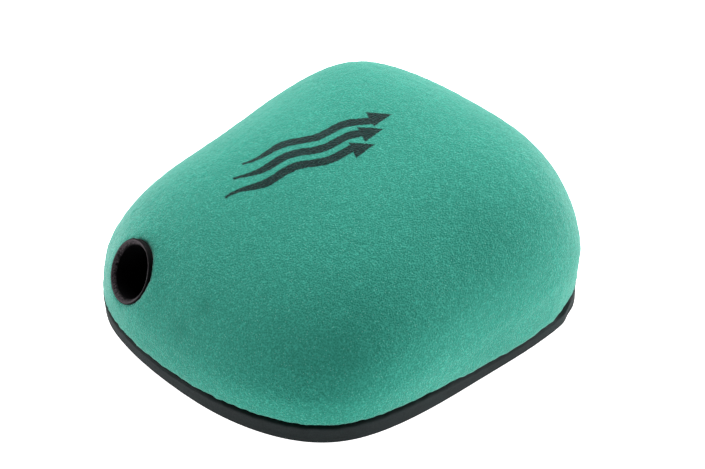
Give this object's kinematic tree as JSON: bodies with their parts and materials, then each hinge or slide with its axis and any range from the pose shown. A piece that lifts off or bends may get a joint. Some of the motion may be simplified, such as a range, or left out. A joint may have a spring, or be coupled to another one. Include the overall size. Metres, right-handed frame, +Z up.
{
  "type": "motorcycle air filter",
  "caption": "Off-road motorcycle air filter: two-layer foam dome with a black base seal and a rubber side eyelet, on a welded wire cage that it lifts off.",
  "frame": {"origin": "middle of the base seal's underside, the face that rests on the airbox", "axes": "+X from the eyelet end to the tall end, +Y towards the eyelet's side, +Z up out of the dome"},
  "size_m": [0.2346, 0.2167, 0.0967],
  "materials": {
    "coarse_foam": "open-cell polyether foam, dyed teal, pre-oiled",
    "fine_foam": "fine open-cell polyether foam",
    "seal_foam": "matte closed-cell foam",
    "eyelet_rubber": "moulded rubber, semi-matte",
    "frame_aluminium": "satin",
    "cage_wire": "drawn wire, satin",
    "socket_nylon": "moulded glass-filled nylon",
    "bush_rubber": "matte",
    "bracket_steel": "zinc plated sheet",
    "screw_steel": "zinc plated"
  },
  "bodies": {
    "cage": {"base_frame": "frame_aluminium", "front_hoop": "cage_wire", "middle_hoop": "cage_wire", "rear_hoop": "cage_wire", "waist_ring": "cage_wire", "spine_wire": "cage_wire", "left_stringer": "cage_wire", "right_stringer": "cage_wire", "tail_post": "cage_wire", "nose_post": "cage_wire", "nose_socket": "socket_nylon", "socket_bush": "bush_rubber", "socket_bracket": "bracket_steel", "bracket_screws": "screw_steel"},
    "filter_element": {"outer_foam": "coarse_foam", "inner_foam": "fine_foam", "base_seal": "seal_foam", "eyelet_ring": "eyelet_rubber", "eyelet_clamp_ring": "eyelet_rubber"}
  },
  "joints": [
    {"name": "element_lift", "type": "slide", "parent": "cage", "child": "filter_element", "axis": [0, 0, 1], "range_m": [0, 0.11]}
  ]
}
